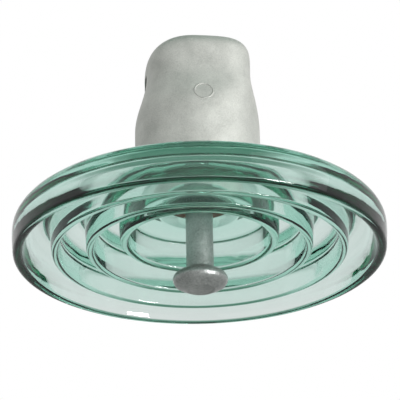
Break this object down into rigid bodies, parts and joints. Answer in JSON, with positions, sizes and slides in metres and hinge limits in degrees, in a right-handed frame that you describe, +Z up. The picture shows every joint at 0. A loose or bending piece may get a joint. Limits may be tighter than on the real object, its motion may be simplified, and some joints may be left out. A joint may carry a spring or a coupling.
{
  "type": "cap and pin suspension insulator",
  "caption": "Toughened glass disc insulator hung by a socket cap on top, with a ball-ended steel pin below that couples to the next disc.",
  "frame": {"origin": "on the axis, at the edge where the socket's shank slot meets its ball seat", "axes": "+Z up along the axis, the way the unit hangs; +X out of the socket's mouth; the locking clip's window faces -X"},
  "size_m": [0.28, 0.28, 0.2052],
  "materials": {
    "cast_cap": "hot-dip galvanised, matt grey, fine cast grain",
    "green_glass": "clear green toughened glass, fire polished",
    "galvanised_pin": "hot-dip galvanised forging, darker grey, softly shiny",
    "cement": "hardened cement, matt",
    "pressed_fibre": "pressed fibre board",
    "spring_wire": "drawn stainless spring wire"
  },
  "bodies": {
    "insulator": {"cap": "cast_cap", "glass_shell": "green_glass", "pin": "galvanised_pin", "cap_cement": "cement", "pin_cement": "cement", "head_cushion": "pressed_fibre", "pin_cushion": "pressed_fibre"},
    "clip": {"locking_clip": "spring_wire"}
  },
  "joints": [
    {"name": "clip_slide", "type": "slide", "parent": "insulator", "child": "clip", "axis": [-1, 0, 0], "range_m": [0, 0.012]}
  ]
}
